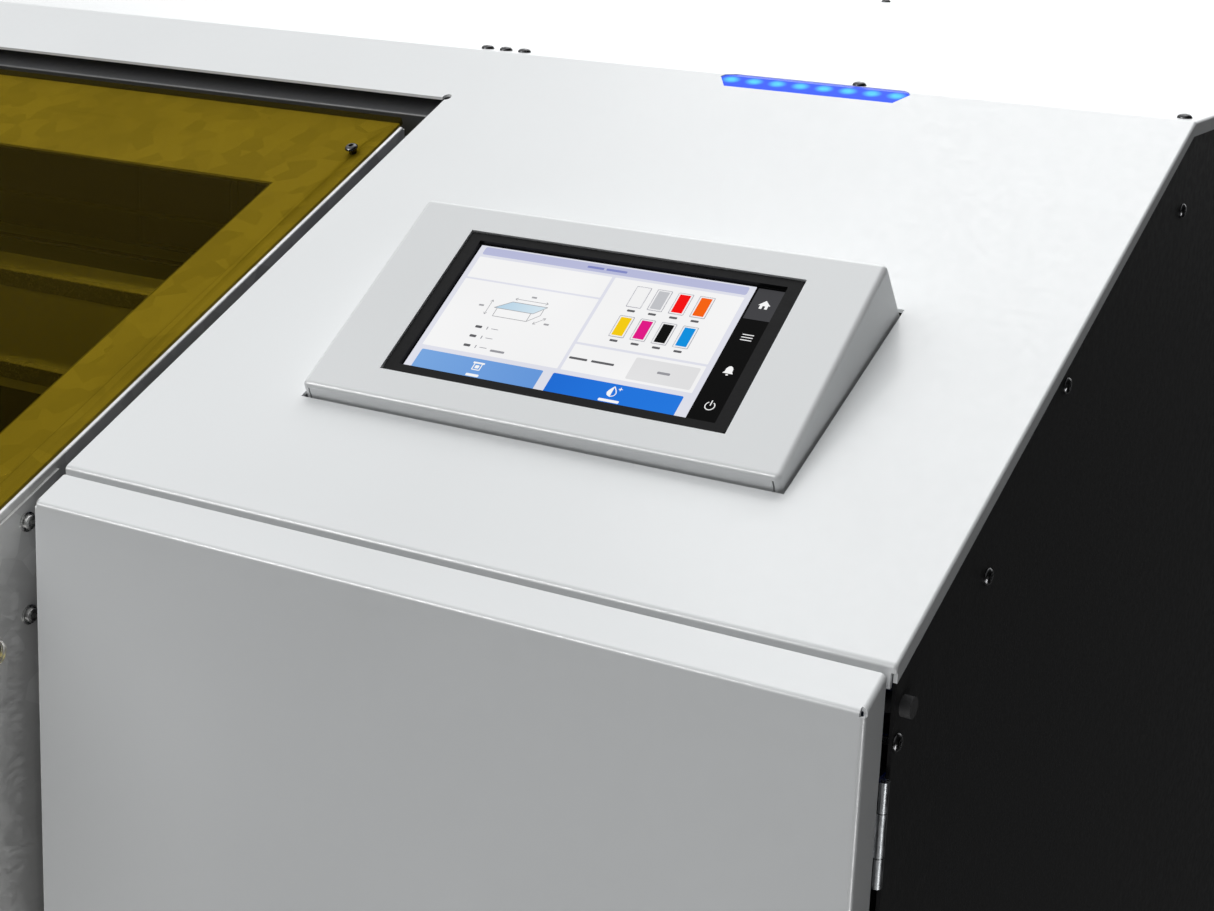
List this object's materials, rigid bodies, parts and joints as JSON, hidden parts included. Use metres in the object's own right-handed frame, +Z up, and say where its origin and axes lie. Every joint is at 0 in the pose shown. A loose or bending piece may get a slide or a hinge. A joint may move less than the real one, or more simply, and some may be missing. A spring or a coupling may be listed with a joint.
{
  "type": "flatbed uv printer",
  "caption": "Benchtop UV-LED flatbed printer with a sloped white cover, a hinged amber lid over a moving vacuum bed, a tilted touch console and a hinged ink door.",
  "frame": {"origin": "on the surface the machine stands on, under the middle of its bounding box", "axes": "+X to the machine's right, -Y to its front, +Z up"},
  "size_m": [1.604, 1.098, 0.7905],
  "materials": {
    "white_powder_coat": "satin powder coat",
    "black_powder_coat": "fine matt powder coat",
    "charcoal_coat": "satin powder coat",
    "galvanised_steel": "galvanised sheet",
    "zinc_steel": "bright zinc",
    "black_steel": "black oxide",
    "black_anodised": "anodised black, matt",
    "foot_rubber": "matt",
    "black_rubber": "matt",
    "amber_acrylic": "clear, polished",
    "blue_diffuser": "lit, satin",
    "screen_glass": "polished, lit",
    "black_plastic": "fine texture",
    "grey_plastic": "fine texture",
    "aluminium": "anodised",
    "bearing_steel": "ground",
    "motor_black": "satin",
    "grey_anodised": "anodised, satin",
    "belt_rubber": "matt",
    "board_green": "solder mask",
    "ink_plastic": "satin",
    "bottle_plastic": "translucent"
  },
  "bodies": {
    "machine": {"base_frame": "black_anodised", "bay_plates": "galvanised_steel", "bay_screws": "zinc_steel", "carriage_belt": "belt_rubber", "carriage_motor": "motor_black", "carriage_rails": "bearing_steel", "console_housing": "white_powder_coat", "data_ports": "black_plastic", "door_bumpers": "black_rubber", "fan_housings": "black_plastic", "frame_leaves": "zinc_steel", "front_cover": "white_powder_coat", "gantry": "aluminium", "hinge_pins": "zinc_steel", "hinge_strip": "charcoal_coat", "ink_cartridges": "ink_plastic", "ink_rack": "grey_plastic", "inner_plates": "galvanised_steel", "left_front_cover": "white_powder_coat", "left_side_panel": "black_powder_coat", "levelling_feet": "foot_rubber", "lid_brackets": "zinc_steel", "main_board": "board_green", "maintenance_station": "grey_plastic", "panel_screws": "black_steel", "power_inlet": "black_plastic", "power_supply": "aluminium", "rear_panel": "black_powder_coat", "right_side_panel": "black_powder_coat", "screen_bezel": "black_plastic", "status_lens": "blue_diffuser", "table_motor": "motor_black", "table_rails": "bearing_steel", "top_cover": "white_powder_coat", "touch_screen": "screen_glass", "vacuum_pump": "motor_black", "waste_bottle": "bottle_plastic"},
    "right_door": {"right_door": "white_powder_coat", "door_leaves": "zinc_steel"},
    "lid": {"lid_frame": "galvanised_steel", "amber_window": "amber_acrylic", "lid_screws": "black_steel", "lid_handle": "aluminium", "lid_leaves": "zinc_steel"},
    "carriage": {"carriage_plate": "aluminium", "print_heads": "grey_plastic", "uv_lamps": "black_anodised", "head_cover": "black_plastic"},
    "drive_pulley": {"drive_pulley": "aluminium"},
    "idler_pulley": {"idler_pulley": "aluminium"},
    "saddle": {"table_saddle": "grey_anodised"},
    "drive_screw": {"table_screw": "bearing_steel"},
    "bed": {"vacuum_bed": "aluminium"},
    "right_lift_screw": {"right_lift_screw": "bearing_steel"},
    "left_lift_screw": {"left_lift_screw": "bearing_steel"},
    "cap_tray": {"cap_tray": "black_plastic"},
    "wiper": {"wiper": "black_rubber"},
    "right_fan_rotor": {"right_fan_rotor": "black_plastic"},
    "left_fan_rotor": {"left_fan_rotor": "black_plastic"},
    "power_switch": {"power_switch": "black_plastic"}
  },
  "joints": [
    {"name": "right_door_hinge", "type": "hinge", "parent": "machine", "child": "right_door", "pos_m": [0.797, -0.3815, 0.35], "axis": [0, 0, 1], "range_deg": [0, 100]},
    {"name": "lid_hinge", "type": "hinge", "parent": "machine", "child": "lid", "pos_m": [0, -0.10628, 0.74242], "axis": [-1, 0, 0], "range_deg": [0, 60]},
    {"name": "carriage_travel", "type": "slide", "parent": "machine", "child": "carriage", "axis": [-1, 0, 0], "range_m": [0, 1.18]},
    {"name": "drive_pulley_turn", "type": "hinge", "parent": "machine", "child": "drive_pulley", "pos_m": [0.745, 0.065, 0.622], "axis": [0, 1, 0], "range_deg": [0, 4250]},
    {"name": "idler_pulley_turn", "type": "hinge", "parent": "machine", "child": "idler_pulley", "pos_m": [-0.745, 0.065, 0.622], "axis": [0, 1, 0], "range_deg": [0, 4250]},
    {"name": "table_travel", "type": "slide", "parent": "machine", "child": "saddle", "axis": [0, 1, 0], "range_m": [0, 0.48]},
    {"name": "drive_screw_turn", "type": "hinge", "parent": "machine", "child": "drive_screw", "pos_m": [0, 0, 0.105], "axis": [0, 1, 0], "range_deg": [0, 8650]},
    {"name": "bed_lift", "type": "slide", "parent": "saddle", "child": "bed", "axis": [0, 0, 1], "range_m": [0, 0.2]},
    {"name": "right_lift_screw_turn", "type": "hinge", "parent": "saddle", "child": "right_lift_screw", "pos_m": [0.348, -0.24, 0.3], "axis": [0, 0, 1], "range_deg": [0, 7210]},
    {"name": "left_lift_screw_turn", "type": "hinge", "parent": "saddle", "child": "left_lift_screw", "pos_m": [-0.348, -0.24, 0.3], "axis": [0, 0, 1], "range_deg": [0, 7210]},
    {"name": "cap_lift", "type": "slide", "parent": "machine", "child": "cap_tray", "axis": [0, 0, 1], "range_m": [0, 0.014]},
    {"name": "wiper_sweep", "type": "slide", "parent": "machine", "child": "wiper", "axis": [0, 1, 0], "range_m": [0, 0.05]},
    {"name": "right_fan_spin", "type": "hinge", "parent": "machine", "child": "right_fan_rotor", "pos_m": [0.3, 0.533, 0.56], "axis": [0, 1, 0], "continuous": true},
    {"name": "left_fan_spin", "type": "hinge", "parent": "machine", "child": "left_fan_rotor", "pos_m": [-0.3, 0.533, 0.56], "axis": [0, 1, 0], "continuous": true},
    {"name": "power_switch_rock", "type": "hinge", "parent": "machine", "child": "power_switch", "pos_m": [0.566, 0.541, 0.128], "axis": [0, 0, 1], "range_deg": [-12, 0]}
  ],
  "couplings": [
    {"joint": "drive_pulley_turn", "follows": "carriage_travel", "rad_per_m": 62.5},
    {"joint": "idler_pulley_turn", "follows": "carriage_travel", "rad_per_m": 62.5},
    {"joint": "drive_screw_turn", "follows": "table_travel", "rad_per_m": 314.16},
    {"joint": "right_lift_screw_turn", "follows": "bed_lift", "rad_per_m": 628.32},
    {"joint": "left_lift_screw_turn", "follows": "bed_lift", "rad_per_m": 628.32}
  ]
}
